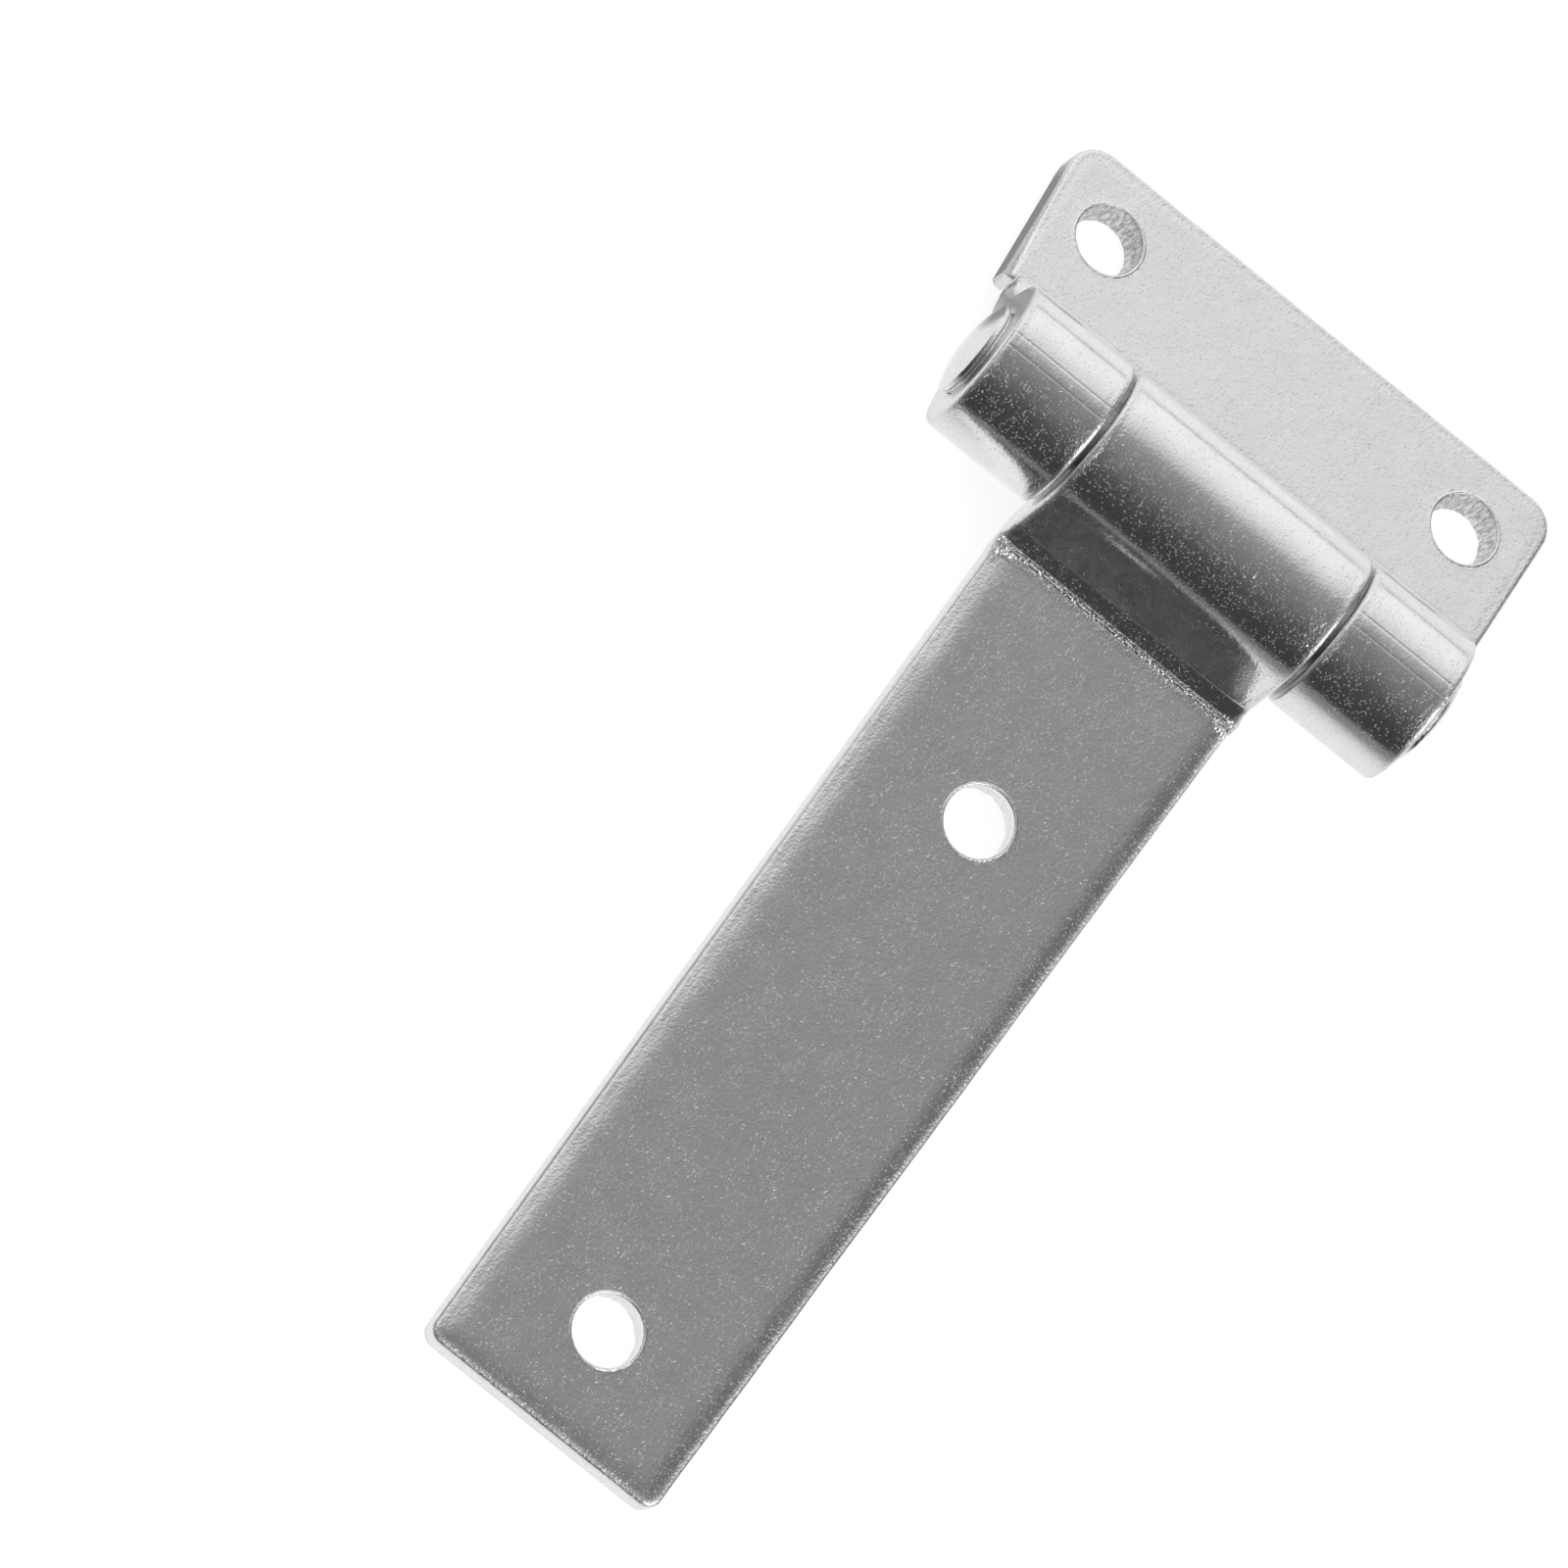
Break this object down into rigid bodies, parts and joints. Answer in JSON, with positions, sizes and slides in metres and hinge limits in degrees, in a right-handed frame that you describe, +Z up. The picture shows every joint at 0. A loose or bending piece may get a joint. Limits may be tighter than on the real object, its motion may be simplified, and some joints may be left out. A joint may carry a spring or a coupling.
{
  "type": "t hinge",
  "caption": "Plated steel T hinge: a long drilled strap leaf turns on a riveted pin against a short crosswise frame leaf, for hanging a door, gate or lid.",
  "frame": {"origin": "centre of the bounding box at the floor that the hinge stands on", "axes": "+X from the strap's tip towards the frame leaf, +Y along the hinge pin, +Z up, away from the mounting side"},
  "size_m": [0.158, 0.069, 0.0255],
  "materials": {
    "strap_steel": "bright zinc plate, satin, with fine pits and scratches",
    "frame_steel": "bright zinc plate, satin, with fine pits and scratches",
    "pin_steel": "bright zinc plate, smooth domed rivet heads"
  },
  "bodies": {
    "frame": {"frame_leaf": "frame_steel", "hinge_pin": "pin_steel"},
    "strap": {"strap_leaf": "strap_steel"}
  },
  "joints": [
    {"name": "leaf_fold", "type": "hinge", "parent": "frame", "child": "strap", "pos_m": [0.04616, 0, 0.01581], "axis": [0, 1, 0], "range_deg": [-76.6, 193.4]}
  ]
}
